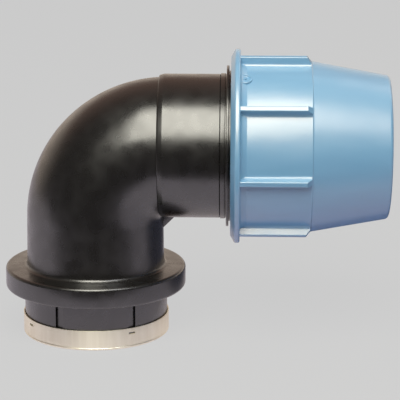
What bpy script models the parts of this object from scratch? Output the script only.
"""Compression elbow for pressure pipe: a pipe socket with a nut, turned down to a female pipe thread.

Metres, +Z up. The origin is the centre of the threaded end's lower face. The threaded leg stands
on it, the pipe goes in along +X, and -Y is the side that is seen first.
"""
import math

import bmesh
import bpy
from mathutils import Matrix, Vector

MM = 0.001

# Standard sizes that the fitting joins
PIPE_RADIUS = 55.0 * MM
FEMALE_MINOR_RADIUS = 55.04 * MM
FEMALE_THREAD_LENGTH = 39.0 * MM
THREAD_ENTRY = 1.5 * MM

# Clearances
SLIP = 0.3 * MM
PIPE_CLEARANCE = 0.7 * MM
THREAD_CLEARANCE = 0.4 * MM
FLANK_CLEARANCE = 0.5 * MM

# Body: threaded leg, neck, collar and bend
AXIS_HEIGHT = 175.5 * MM
BORE_SHOULDER = 2.04 * MM
LEG_WALL = 9.8 * MM
LEG_DRAFT = 0.6 * MM
INNER_CORNER_RADIUS = 4.0 * MM
NECK_STEP = 2.7 * MM
COLLAR_WIDTH = 19.9 * MM
COLLAR_BASE = 43.8 * MM
COLLAR_THICKNESS = 19.2 * MM
COLLAR_ROUND = 2.8 * MM
LEG_FILLET = 6.5 * MM
SMALL_ROUND = 1.3 * MM
WEB_LEG = 9.8 * MM
WEB_THICKNESS = 4.0 * MM
NOTCH_INNER = 29.2 * MM
NOTCH_OUTER = 36.0 * MM
NOTCH_DEPTH = 2.6 * MM
NOTCH_TOP_GAP = 1.2 * MM
NOTCH_TURN = math.radians(3.4)

# Body: pipe stub and its male thread
STUB_WALL = 9.9 * MM
STUB_OVERLAP = 9.2 * MM
STUB_SHOULDER = 4.6 * MM
SOCKET_SETBACK = 17.2 * MM
SOCKET_DEPTH = 106.0 * MM
MOUTH_ROUND = 1.2 * MM
CHAMBER_WALL = 4.5 * MM
THREAD_DEPTH = 4.0 * MM
THREAD_PITCH = 12.0 * MM
THREAD_CREST_WIDTH = 3.0 * MM
THREAD_FLANK_ANGLE = math.radians(20.0)
THREAD_TURNS = 4.5
THREAD_FADE = math.radians(30.0)
THREAD_END_HEIGHT = 0.6 * MM
THREAD_TO_MOUTH = 7.0 * MM
NUT_TO_THREAD = 4.8 * MM
STOP_DISC_THICKNESS = 2.2 * MM
STOP_DISC_STEP = 4.8 * MM
STOP_DISC_GAP = 1.4 * MM
LAND_LENGTH = 4.2 * MM
LAND_STEP = 0.7 * MM
LAND_GAP = 1.0 * MM

# Seal, thrust bush and grip ring
SEAL_SECTION_RADIUS = 4.2 * MM
SEAL_SIDES = 8
CHAMBER_DEPTH = 16.0 * MM
BUSH_NOSE = 7.0 * MM
BUSH_FLANGE_THICKNESS = 3.2 * MM
BUSH_FLANGE_SETBACK = 1.0 * MM
GRIP_LENGTH = 50.0 * MM
GRIP_SLIT = math.radians(9.0)
GRIP_TEETH = 6
GRIP_TOOTH_DEPTH = 1.3 * MM
GRIP_FRONT_WALL = 3.6 * MM
GRIP_TRAVEL_ROOM = 14.2 * MM

# Nut
NUT_WALL = 6.0 * MM
NUT_BEAD_HEIGHT = 9.5 * MM
NUT_BEAD_THICKNESS = 8.6 * MM
NUT_BEAD_RAKE = 4.0 * MM
NUT_BEAD_ROUND = 1.8 * MM
NUT_BEAD_SLOPE = 5.8 * MM
NUT_BEAD_FOOT = 2.6 * MM
NUT_PANEL_OVERRUN = 3.7 * MM
NUT_PANEL_STEP = 0.9 * MM
NUT_CONE_STEP = 1.3 * MM
NUT_LIP_WALL = 9.5 * MM
NUT_LIP_LENGTH = 10.0 * MM
NUT_FRONT_ROUND = 3.5 * MM
NUT_MOUTH_CHAMFER = 2.5 * MM
NUT_THREAD_TURNS = 3.5
NUT_THREAD_RELIEF = 4.0 * MM
RIB_COUNT = 8
RIB_ELEVATION = math.radians(35.0)
RIB_HEIGHT = 8.2 * MM
RIB_TOP_WIDTH = 4.8 * MM
RIB_TOP_ROUND = 1.0 * MM
RIB_DRAFT = math.radians(4.0)
RIB_FILLET = 3.0 * MM
RIB_END_CHAMFER = 4.2 * MM
RIB_END_GAP = 1.6 * MM
GATE_RADIUS = 3.4 * MM
GATE_HEIGHT = 1.4 * MM
GATE_SETBACK = 14.8 * MM
GATE_ELEVATION = math.radians(60.5)
GATE_SIDES = 16

# Reinforcing ring
RING_WALL = 1.2 * MM
RING_HEIGHT = 18.7 * MM
RING_LIP_WIDTH = 7.4 * MM
RING_CURL = 2.4 * MM
RING_INNER_ROUND = 0.7 * MM
TAB_COUNT = 4
TAB_ANGLE = math.radians(-57.5)
TAB_WIDTH = 6.2 * MM
TAB_WINDOW = 1.8 * MM
TAB_BELOW_TOP = 3.8 * MM
TAB_THICKNESS = 0.7 * MM
TAB_SHIFT = 0.6 * MM
TAB_LEAN = math.radians(20.0)
WINDOW_DEPTH = 6.0 * MM

# Fineness of the curved surfaces
SEGMENTS = 40
THREAD_SEGMENTS = 40
BEND_STEPS = 11
FILLET_STEPS = 2
EMBED = 0.6 * MM
# How much of an edge one fillet may take: nearly all of it, or less than half where both ends have one
EDGE_SHARE = {False: 0.96, True: 0.48}

# Leg and neck, from the female thread outwards
WATERWAY_RADIUS = FEMALE_MINOR_RADIUS - BORE_SHOULDER
LEG_RADIUS = WATERWAY_RADIUS + LEG_WALL
LEG_FOOT_RADIUS = LEG_RADIUS + LEG_DRAFT
NECK_RADIUS = LEG_FOOT_RADIUS + NECK_STEP
RING_RADIUS = NECK_RADIUS + SLIP + RING_WALL
RING_LIP_INNER_RADIUS = RING_RADIUS - RING_LIP_WIDTH
BODY_END = RING_WALL + SLIP
COLLAR_RADIUS = LEG_FOOT_RADIUS + COLLAR_WIDTH
COLLAR_TOP = COLLAR_BASE + COLLAR_THICKNESS
BEND_RADIUS = LEG_RADIUS + INNER_CORNER_RADIUS
LEG_TOP = AXIS_HEIGHT - BEND_RADIUS
BEND_LENGTH = BEND_RADIUS * math.pi / 2

# Stub and nut, from the pipe outwards
SOCKET_RADIUS = PIPE_RADIUS + PIPE_CLEARANCE
CHAMBER_RADIUS = SOCKET_RADIUS + 2 * SEAL_SECTION_RADIUS
STUB_RADIUS = SOCKET_RADIUS + STUB_WALL
LAND_RADIUS = STUB_RADIUS + LAND_STEP
THREAD_ROOT_RADIUS = CHAMBER_RADIUS + CHAMBER_WALL
STOP_DISC_RADIUS = THREAD_ROOT_RADIUS + STOP_DISC_STEP
BUSH_FLANGE_RADIUS = THREAD_ROOT_RADIUS - BUSH_FLANGE_SETBACK
GRIP_BORE_RADIUS = SOCKET_RADIUS + GRIP_TOOTH_DEPTH
NUT_CREST_RADIUS = THREAD_ROOT_RADIUS + THREAD_CLEARANCE
NUT_ROOT_RADIUS = THREAD_ROOT_RADIUS + THREAD_DEPTH + THREAD_CLEARANCE
NUT_PANEL_RADIUS = NUT_ROOT_RADIUS + NUT_WALL
NUT_BEAD_RADIUS = NUT_PANEL_RADIUS + NUT_BEAD_HEIGHT
NUT_CONE_START_RADIUS = NUT_PANEL_RADIUS - NUT_CONE_STEP
NUT_CONE_END_RADIUS = SOCKET_RADIUS + NUT_LIP_WALL
RIB_RADIUS = NUT_PANEL_RADIUS + RIB_HEIGHT

# Places along the pipe axis
STUB_START = BEND_RADIUS - STUB_OVERLAP
PIPE_STOP = BEND_RADIUS + SOCKET_SETBACK
MOUTH = PIPE_STOP + SOCKET_DEPTH
CHAMBER_START = MOUTH - CHAMBER_DEPTH
THREAD_START = MOUTH - THREAD_TO_MOUTH - THREAD_TURNS * THREAD_PITCH
NUT_BACK = THREAD_START - NUT_TO_THREAD
STOP_DISC_START = NUT_BACK - STOP_DISC_GAP - STOP_DISC_THICKNESS
LAND_START = STOP_DISC_START - LAND_GAP - LAND_LENGTH
BUSH_FLANGE_START = MOUTH + SLIP
BUSH_FRONT = BUSH_FLANGE_START + BUSH_FLANGE_THICKNESS
BUSH_BACK = BUSH_FLANGE_START - BUSH_NOSE
GRIP_BACK = BUSH_FRONT + SLIP
GRIP_FRONT = GRIP_BACK + GRIP_LENGTH
NUT_PANEL_END = GRIP_BACK + NUT_PANEL_OVERRUN
NUT_LIP_BACK = GRIP_FRONT + GRIP_TRAVEL_ROOM
NUT_FRONT = NUT_LIP_BACK + NUT_LIP_LENGTH


def remove_everything():
    for item in list(bpy.data.objects):
        bpy.data.objects.remove(item, do_unlink=True)


def finish(name, colour, roughness, metallic=0.0):
    """A plain material in the piece's own colour."""
    made = bpy.data.materials.new(name)
    made.use_nodes = True
    shader = made.node_tree.nodes["Principled BSDF"]
    shader.inputs["Base Color"].default_value = (*colour, 1.0)
    shader.inputs["Roughness"].default_value = roughness
    shader.inputs["Metallic"].default_value = metallic
    return made


def add_object(name, mesh_builder, material=None, along_x=False):
    """Put a finished bmesh in the scene. along_x lays the mesh's own Z along the pipe axis."""
    mesh = bpy.data.meshes.new(name)
    bmesh.ops.recalc_face_normals(mesh_builder, faces=mesh_builder.faces)
    mesh_builder.to_mesh(mesh)
    mesh_builder.free()
    mesh.shade_smooth()
    mesh.set_sharp_from_angle(angle=math.radians(35))
    made = bpy.data.objects.new(name, mesh)
    bpy.context.scene.collection.objects.link(made)
    if material:
        mesh.materials.append(material)
    if along_x:
        made.location.z = AXIS_HEIGHT
        made.rotation_euler.y = math.pi / 2
    return made


def around_axis(elevation):
    """Turn in the mesh of a piece laid along the pipe axis, from its height above the -Y side."""
    return -math.pi / 2 - elevation


def combine(target, tool, operation):
    """Union with the tool or cut by it, and hide the tool, which isn't a piece of its own."""
    step = target.modifiers.new(f"{operation.lower()}_{tool.name}", "BOOLEAN")
    step.operation = operation
    step.solver = "EXACT"
    step.object = tool
    tool.hide_render = True
    tool.display_type = "WIRE"


def rounded(corners, closed=True):
    """Outline through (radius, height, fillet) corners, each rounded by its own fillet."""
    points = []
    count = len(corners)
    for index, (radius, height, fillet) in enumerate(corners):
        here = Vector((radius, height))
        if fillet == 0 or (not closed and index in (0, count - 1)):
            points.append(here)
            continue
        earlier, later = corners[index - 1], corners[(index + 1) % count]
        before, after = Vector(earlier[:2]) - here, Vector(later[:2]) - here
        room = min(before.length * EDGE_SHARE[earlier[2] > 0], after.length * EDGE_SHARE[later[2] > 0])
        half = before.angle(after) / 2
        reach = min(fillet / math.tan(half), room)
        middle = here + (before.normalized() + after.normalized()).normalized() * (reach / math.cos(half))
        spoke = here + before.normalized() * reach - middle
        sweep = math.copysign(math.pi - 2 * half, after.cross(before))
        for step in range(FILLET_STEPS + 1):
            points.append(middle + Matrix.Rotation(sweep * step / FILLET_STEPS, 2) @ spoke)
    return points


def turned(outline, segments=SEGMENTS, angle=2 * math.pi, start=0.0):
    """Turn a closed outline of (radius, height) points round the Z axis."""
    solid = bmesh.new()
    corners = [solid.verts.new((p.x, 0.0, p.y)) for p in outline]
    edges = [solid.edges.new((corners[i - 1], corners[i])) for i in range(len(corners))]
    bmesh.ops.rotate(solid, verts=corners, cent=(0, 0, 0), matrix=Matrix.Rotation(start, 3, "Z"))
    full = angle >= 2 * math.pi
    section = corners + edges
    if not full:
        section.append(solid.faces.new(corners))
    bmesh.ops.spin(solid, geom=section, cent=(0, 0, 0), axis=(0, 0, 1), angle=angle,
                   steps=segments, use_merge=full)
    return solid


def bend_place(along):
    """Where the elbow's centreline is, a distance along from the threaded end's face."""
    if along <= LEG_TOP:
        return Matrix.Translation((0, 0, along))
    corner = Vector((BEND_RADIUS, 0, LEG_TOP))
    turn = min((along - LEG_TOP) / BEND_RADIUS, math.pi / 2)
    swing = Matrix.Translation(corner) @ Matrix.Rotation(turn, 4, "Y") @ Matrix.Translation(-corner)
    onward = max(along - LEG_TOP - BEND_LENGTH, 0.0)
    return Matrix.Translation((onward, 0, 0)) @ swing @ Matrix.Translation((0, 0, LEG_TOP))


def socket_place(along):
    """A place on the pipe axis, with the section square to it."""
    return Matrix.Translation((along, 0, AXIS_HEIGHT)) @ Matrix.Rotation(math.pi / 2, 4, "Y")


def bend_stations(radius):
    """Sections of one radius from the bend's start to its end, each a (radius, along) point."""
    return [Vector((radius, LEG_TOP + BEND_LENGTH * step / BEND_STEPS)) for step in range(BEND_STEPS + 1)]


def swept(profile, place):
    """Solid of round sections. profile is (radius, along) points, and place says where along lies."""
    solid = bmesh.new()
    places = [place(p.y) @ Matrix.Diagonal((p.x, p.x, 1, 1)) for p in profile]
    first = bmesh.ops.create_circle(solid, cap_ends=True, segments=SEGMENTS, radius=1, matrix=places[0])
    ring = list({edge for vert in first["verts"] for edge in vert.link_edges})
    for here, onward in zip(places, places[1:]):
        made = bmesh.ops.extrude_edge_only(solid, edges=ring)
        ring = [item for item in made["geom"] if isinstance(item, bmesh.types.BMEdge)]
        moved = [item for item in made["geom"] if isinstance(item, bmesh.types.BMVert)]
        bmesh.ops.transform(solid, matrix=onward @ here.inverted(), verts=moved)
    bmesh.ops.contextual_create(solid, geom=ring)
    return solid


def thread_ridge(base_radius, crest_radius, crest_width, turns, start):
    """One helical ridge round the Z axis. Its crest fades in and out over THREAD_FADE at its ends."""
    height = abs(crest_radius - base_radius)
    flank = height * math.tan(THREAD_FLANK_ANGLE)
    base_half = crest_width / 2 + flank
    crest_half = crest_width / 2
    solid = bmesh.new()
    corners = [solid.verts.new(place) for place in (
        (base_radius, 0, -base_half), (crest_radius, 0, -crest_half),
        (crest_radius, 0, crest_half), (base_radius, 0, base_half))]
    section = corners + [solid.faces.new(corners)]
    steps = round(turns * THREAD_SEGMENTS)
    bmesh.ops.spin(solid, geom=section, cent=(0, 0, 0), axis=(0, 0, 1),
                   dvec=(0, 0, THREAD_PITCH * turns / steps), angle=2 * math.pi * turns, steps=steps)
    sweep = 2 * math.pi * turns
    for number, vert in enumerate(solid.verts):
        along = sweep * (number // len(corners)) / steps
        share = min(along, sweep - along, THREAD_FADE) / THREAD_FADE
        lowest = THREAD_END_HEIGHT / height
        radius = math.hypot(vert.co.x, vert.co.y)
        faded = base_radius + (radius - base_radius) * max(share, lowest)
        vert.co.xy *= faded / radius
    between = Matrix.Rotation(math.pi / THREAD_SEGMENTS, 3, "Z")
    bmesh.ops.rotate(solid, verts=solid.verts, cent=(0, 0, 0), matrix=between)
    bmesh.ops.translate(solid, verts=solid.verts, vec=(0, 0, start))
    return solid


def make_body():
    """The black moulding: leg and bend, pipe stub, web, thread and waterway."""
    black = finish("black_polypropylene", (0.018, 0.017, 0.016), 0.38)

    leg = rounded([
        (NECK_RADIUS - SMALL_ROUND, BODY_END, 0),
        (NECK_RADIUS, BODY_END + SMALL_ROUND, 0),
        (NECK_RADIUS, COLLAR_BASE, SMALL_ROUND),
        (COLLAR_RADIUS, COLLAR_BASE, COLLAR_ROUND),
        (COLLAR_RADIUS, COLLAR_TOP, COLLAR_ROUND),
        (LEG_FOOT_RADIUS, COLLAR_TOP, LEG_FILLET),
        (LEG_RADIUS, LEG_TOP, 0),
    ], closed=False)
    body = add_object("elbow_body", swept(leg[:-1] + bend_stations(LEG_RADIUS), bend_place), black)

    stub = rounded([
        (LEG_RADIUS - EMBED, STUB_START, 0),
        (STUB_RADIUS, STUB_START + STUB_SHOULDER, SMALL_ROUND),
        (STUB_RADIUS, LAND_START, 0),
        (LAND_RADIUS, LAND_START, 0),
        (LAND_RADIUS, LAND_START + LAND_LENGTH, 0),
        (STUB_RADIUS, LAND_START + LAND_LENGTH, 0),
        (STUB_RADIUS, STOP_DISC_START, 0),
        (STOP_DISC_RADIUS, STOP_DISC_START, 0),
        (STOP_DISC_RADIUS, STOP_DISC_START + STOP_DISC_THICKNESS, 0),
        (THREAD_ROOT_RADIUS, STOP_DISC_START + STOP_DISC_THICKNESS, 0),
        (THREAD_ROOT_RADIUS, MOUTH, MOUTH_ROUND),
        (CHAMBER_RADIUS + EMBED, MOUTH, 0),
    ], closed=False)
    combine(body, add_object("pipe_stub", swept(stub, socket_place)), "UNION")
    combine(body, add_object("corner_web", corner_web()), "UNION")
    combine(body, add_object("waterway", waterway()), "DIFFERENCE")
    combine(body, add_object("neck_notches", neck_notches()), "DIFFERENCE")
    ridge = thread_ridge(THREAD_ROOT_RADIUS - EMBED, THREAD_ROOT_RADIUS + THREAD_DEPTH,
                         THREAD_CREST_WIDTH, THREAD_TURNS, THREAD_START)
    combine(body, add_object("male_thread", ridge, along_x=True), "UNION")
    return body


def corner_web():
    """The small triangular web in the inner corner, in the plane of symmetry."""
    solid = bmesh.new()
    corner = Vector((LEG_RADIUS, 0, AXIS_HEIGHT - STUB_RADIUS))
    points = [corner + Vector((-INNER_CORNER_RADIUS, 0, -WEB_LEG - INNER_CORNER_RADIUS)),
              corner + Vector((WEB_LEG + INNER_CORNER_RADIUS, 0, INNER_CORNER_RADIUS)),
              corner + Vector((-INNER_CORNER_RADIUS, 0, INNER_CORNER_RADIUS))]
    side = solid.faces.new([solid.verts.new(p) for p in points])
    bmesh.ops.translate(solid, verts=solid.verts, vec=(0, -WEB_THICKNESS / 2, 0))
    made = bmesh.ops.extrude_face_region(solid, geom=[side])
    moved = [item for item in made["geom"] if isinstance(item, bmesh.types.BMVert)]
    bmesh.ops.translate(solid, verts=moved, vec=(0, WEB_THICKNESS, 0))
    return solid


def waterway():
    """What the water and the pipe fill: the thread's bore, the bend, the socket and the seal's chamber."""
    entry = FEMALE_MINOR_RADIUS + THREAD_ENTRY
    thread_end = BODY_END + FEMALE_THREAD_LENGTH
    bore = [Vector(point) for point in (
        (entry, BODY_END - EMBED),
        (entry, BODY_END),
        (FEMALE_MINOR_RADIUS, BODY_END + THREAD_ENTRY),
        (FEMALE_MINOR_RADIUS, thread_end),
        (WATERWAY_RADIUS, thread_end + FEMALE_MINOR_RADIUS - WATERWAY_RADIUS))]
    bore += bend_stations(WATERWAY_RADIUS)
    bore += [Vector((radius, LEG_TOP + BEND_LENGTH + x - BEND_RADIUS)) for radius, x in (
        (WATERWAY_RADIUS, PIPE_STOP),
        (SOCKET_RADIUS, PIPE_STOP),
        (SOCKET_RADIUS, CHAMBER_START),
        (CHAMBER_RADIUS, CHAMBER_START),
        (CHAMBER_RADIUS, MOUTH + EMBED))]
    return swept(bore, bend_place)


def neck_notches():
    """Four wedge pockets in the neck, their steep walls square to the mould's parting plane."""
    solid = bmesh.new()
    low = RING_HEIGHT + SLIP
    for side in (-1, 1):
        for front in (-1, 1):
            outer = math.sqrt(NECK_RADIUS ** 2 - NOTCH_OUTER ** 2)
            inner = math.sqrt(NECK_RADIUS ** 2 - NOTCH_INNER ** 2)
            points = [(side * NOTCH_INNER, front * (inner - SLIP), low),
                      (side * NOTCH_OUTER, front * (outer - NOTCH_DEPTH), low),
                      (side * NOTCH_OUTER, front * NECK_RADIUS, low),
                      (side * NOTCH_INNER, front * NECK_RADIUS, low)]
            base = solid.faces.new([solid.verts.new(p) for p in points])
            made = bmesh.ops.extrude_face_region(solid, geom=[base])
            moved = [item for item in made["geom"] if isinstance(item, bmesh.types.BMVert)]
            bmesh.ops.translate(solid, verts=moved, vec=(0, 0, COLLAR_BASE - NOTCH_TOP_GAP - low))
    bmesh.ops.rotate(solid, verts=solid.verts, cent=(0, 0, 0), matrix=Matrix.Rotation(NOTCH_TURN, 3, "Z"))
    return solid


def nut_inner_radius(x):
    """Radius of the cone inside the nut that closes the grip ring, at a place on the pipe axis."""
    narrow = GRIP_BORE_RADIUS + GRIP_FRONT_WALL + SLIP
    share = (NUT_LIP_BACK - x) / (NUT_LIP_BACK - GRIP_BACK)
    return narrow + (NUT_CREST_RADIUS - narrow) * share


def make_nut(carrier):
    """The blue nut: a turned shell with ribs, its own helical thread and a gate pip."""
    blue = finish("sky_blue_polypropylene", (0.22, 0.50, 0.72), 0.35)
    bead_end = NUT_BACK + NUT_BEAD_THICKNESS
    relief = THREAD_START + THREAD_PITCH * THREAD_TURNS + NUT_THREAD_RELIEF
    shell = rounded([
        (NUT_ROOT_RADIUS + NUT_MOUTH_CHAMFER, NUT_BACK + NUT_BEAD_FOOT, 0),
        (NUT_PANEL_RADIUS + NUT_BEAD_FOOT, NUT_BACK, NUT_BEAD_FOOT),
        (NUT_BEAD_RADIUS, NUT_BACK + NUT_BEAD_RAKE, NUT_BEAD_ROUND),
        (NUT_BEAD_RADIUS, bead_end, NUT_BEAD_ROUND),
        (NUT_PANEL_RADIUS + NUT_BEAD_FOOT, bead_end, NUT_BEAD_FOOT),
        (NUT_PANEL_RADIUS, bead_end + NUT_BEAD_SLOPE, 0),
        (NUT_PANEL_RADIUS, NUT_PANEL_END - NUT_PANEL_STEP, 0),
        (NUT_CONE_START_RADIUS, NUT_PANEL_END, 0),
        (NUT_CONE_END_RADIUS, NUT_FRONT, NUT_FRONT_ROUND),
        (SOCKET_RADIUS + NUT_FRONT_ROUND / 2, NUT_FRONT, 0),
        (SOCKET_RADIUS, NUT_FRONT - NUT_FRONT_ROUND / 2, 0),
        (SOCKET_RADIUS, NUT_LIP_BACK, 0),
        (nut_inner_radius(NUT_LIP_BACK), NUT_LIP_BACK, 0),
        (nut_inner_radius(GRIP_BACK), GRIP_BACK, 0),
        (NUT_CREST_RADIUS, relief + NUT_ROOT_RADIUS - NUT_CREST_RADIUS, 0),
        (NUT_ROOT_RADIUS, relief, 0),
        (NUT_ROOT_RADIUS, NUT_BACK + NUT_BEAD_FOOT + NUT_MOUTH_CHAMFER, 0),
    ])
    nut = add_object("compression_nut", turned(shell), blue, along_x=True)
    ribs = grip_ribs(bead_end)
    combine(nut, add_object("grip_ribs", ribs, along_x=True), "UNION")
    crest = THREAD_PITCH - THREAD_CREST_WIDTH - 2 * FLANK_CLEARANCE
    crest -= 2 * (THREAD_DEPTH - THREAD_CLEARANCE) * math.tan(THREAD_FLANK_ANGLE)
    ridge = thread_ridge(NUT_ROOT_RADIUS + EMBED, NUT_CREST_RADIUS, crest, NUT_THREAD_TURNS,
                         THREAD_START + THREAD_PITCH / 2)
    combine(nut, add_object("nut_thread", ridge, along_x=True), "UNION")
    combine(nut, add_object("gate_pip", gate_pip(), along_x=True), "UNION")
    nut.parent = carrier
    nut.matrix_parent_inverse = carrier.matrix_world.inverted()
    return nut


def grip_ribs(bead_end):
    """Eight straight ribs along the nut, drafted, with a filleted foot and a chamfered front end."""
    solid = bmesh.new()
    spread = (RIB_RADIUS - NUT_PANEL_RADIUS) * math.tan(RIB_DRAFT)
    top = RIB_TOP_WIDTH / 2
    foot = top + spread
    reach = foot + RIB_FILLET
    buried = NUT_PANEL_RADIUS - NUT_BEAD_FOOT
    sunk = math.sqrt(NUT_PANEL_RADIUS ** 2 - reach ** 2) - SLIP
    half = [(buried, reach, 0), (sunk, reach, 0), (NUT_PANEL_RADIUS, foot, RIB_FILLET),
            (RIB_RADIUS, top, RIB_TOP_ROUND)]
    mirrored = [(radius, -across, fillet) for radius, across, fillet in reversed(half)]
    outline = rounded(half + mirrored)
    back = bead_end - NUT_BEAD_FOOT
    front = NUT_PANEL_END - RIB_END_GAP
    for number in range(RIB_COUNT):
        section = [solid.verts.new((p.x, p.y, back)) for p in outline]
        made = bmesh.ops.extrude_face_region(solid, geom=[solid.faces.new(section)])
        ends = [item for item in made["geom"] if isinstance(item, bmesh.types.BMVert)]
        for vert in ends:
            over = max(vert.co.x - (RIB_RADIUS - RIB_END_CHAMFER), 0.0)
            vert.co.z = front - over
        turn = Matrix.Rotation(around_axis(RIB_ELEVATION) + number * 2 * math.pi / RIB_COUNT, 3, "Z")
        bmesh.ops.rotate(solid, verts=section + ends, cent=(0, 0, 0), matrix=turn)
    return solid


def gate_pip():
    """The round pip that the mould's gate leaves between two ribs."""
    solid = bmesh.new()
    turn = Matrix.Rotation(around_axis(GATE_ELEVATION), 4, "Z")
    place = turn @ Matrix.Translation((NUT_PANEL_RADIUS, 0, NUT_BACK + GATE_SETBACK))
    bmesh.ops.create_cone(solid, cap_ends=True, segments=GATE_SIDES, radius1=GATE_RADIUS,
                          radius2=GATE_RADIUS, depth=2 * GATE_HEIGHT,
                          matrix=place @ Matrix.Rotation(math.pi / 2, 4, "Y"))
    return solid


def make_grip_ring():
    """The split ring: a cone outside, saw teeth inside, open at one slit."""
    ivory = finish("acetal_grip_ring", (0.80, 0.79, 0.74), 0.42)
    pitch = GRIP_LENGTH / (GRIP_TEETH + 1)
    corners = [(nut_inner_radius(GRIP_BACK) - SLIP, GRIP_BACK, 0),
               (nut_inner_radius(GRIP_FRONT) - SLIP, GRIP_FRONT, 0),
               (GRIP_BORE_RADIUS, GRIP_FRONT, 0)]
    for tooth in range(GRIP_TEETH):
        root = GRIP_FRONT - pitch * (tooth + 0.5)
        corners.append((GRIP_BORE_RADIUS, root, 0))
        corners.append((GRIP_BORE_RADIUS - GRIP_TOOTH_DEPTH, root - pitch, 0))
    corners.append((GRIP_BORE_RADIUS, GRIP_BACK + pitch / 2, 0))
    corners.append((GRIP_BORE_RADIUS, GRIP_BACK, 0))
    ring = turned(rounded(corners), segments=SEGMENTS - 2, angle=2 * math.pi - GRIP_SLIT,
                  start=math.pi + GRIP_SLIT / 2)
    return add_object("split_ring", ring, ivory, along_x=True)


def make_bush():
    """The thrust bush: a nose that presses the seal and a flange between body and grip ring."""
    black = finish("black_bush", (0.03, 0.03, 0.03), 0.45)
    outline = rounded([
        (SOCKET_RADIUS, BUSH_BACK, 0),
        (CHAMBER_RADIUS - SLIP, BUSH_BACK, 0),
        (CHAMBER_RADIUS - SLIP, BUSH_FLANGE_START, 0),
        (BUSH_FLANGE_RADIUS, BUSH_FLANGE_START, 0),
        (BUSH_FLANGE_RADIUS, BUSH_FRONT, 0),
        (SOCKET_RADIUS, BUSH_FRONT, 0),
    ])
    return add_object("thrust_bush", turned(outline), black, along_x=True)


def make_seal():
    """The round seal, lying in the bottom of its chamber against the thrust bush."""
    rubber = finish("nitrile_rubber", (0.02, 0.02, 0.022), 0.6)
    section = SEAL_SECTION_RADIUS - SLIP
    middle = (SOCKET_RADIUS + CHAMBER_RADIUS) / 2
    centre = Vector((middle, BUSH_BACK - SLIP - section))
    steps = [step * 2 * math.pi / SEAL_SIDES for step in range(SEAL_SIDES)]
    outline = [centre + Vector((math.cos(turn), math.sin(turn))) * section for turn in steps]
    return add_object("o_ring", turned(outline), rubber, along_x=True)


def make_reinforcing_ring():
    """The pressed steel ring: straight wall, curled lower lip and lanced tabs."""
    steel = finish("stainless_steel", (0.72, 0.68, 0.60), 0.3, 1.0)
    inner = RING_RADIUS - RING_WALL
    outline = rounded([
        (RING_LIP_INNER_RADIUS, 0, 0),
        (RING_RADIUS, 0, RING_CURL),
        (RING_RADIUS, RING_HEIGHT, 0),
        (inner, RING_HEIGHT, 0),
        (inner, RING_WALL, RING_INNER_ROUND),
        (RING_LIP_INNER_RADIUS, RING_WALL, 0),
    ])
    ring = add_object("reinforcing_ring", turned(outline), steel)
    windows = bmesh.new()
    middle = RING_HEIGHT - TAB_BELOW_TOP - TAB_WINDOW / 2
    for number in range(TAB_COUNT):
        turn = Matrix.Rotation(TAB_ANGLE + number * 2 * math.pi / TAB_COUNT, 4, "Z")
        size = Matrix.Diagonal((WINDOW_DEPTH, TAB_WIDTH, TAB_WINDOW, 1))
        bmesh.ops.create_cube(windows, matrix=turn @ Matrix.Translation((RING_RADIUS, 0, middle)) @ size)
    combine(ring, add_object("tab_windows", windows), "DIFFERENCE")
    tongues = bmesh.new()
    for number in range(TAB_COUNT):
        turn = Matrix.Rotation(TAB_ANGLE + number * 2 * math.pi / TAB_COUNT, 4, "Z")
        root = Matrix.Translation((RING_RADIUS - RING_WALL / 2, 0, middle - TAB_WINDOW / 2))
        lean = Matrix.Rotation(-TAB_LEAN, 4, "Y") @ Matrix.Translation((0, 0, TAB_SHIFT))
        size = Matrix.Diagonal((TAB_THICKNESS, TAB_WIDTH - 2 * SLIP, TAB_WINDOW, 1))
        bmesh.ops.create_cube(tongues, matrix=turn @ root @ lean @ size)
    combine(ring, add_object("lanced_tabs", tongues), "UNION")
    return ring


def main():
    remove_everything()
    axis = bpy.data.objects.new("pipe_axis", None)
    bpy.context.scene.collection.objects.link(axis)
    axis.location = (0, 0, AXIS_HEIGHT)
    bpy.context.view_layer.update()
    make_body()
    make_reinforcing_ring()
    make_seal()
    make_bush()
    make_grip_ring()
    make_nut(axis)


main()
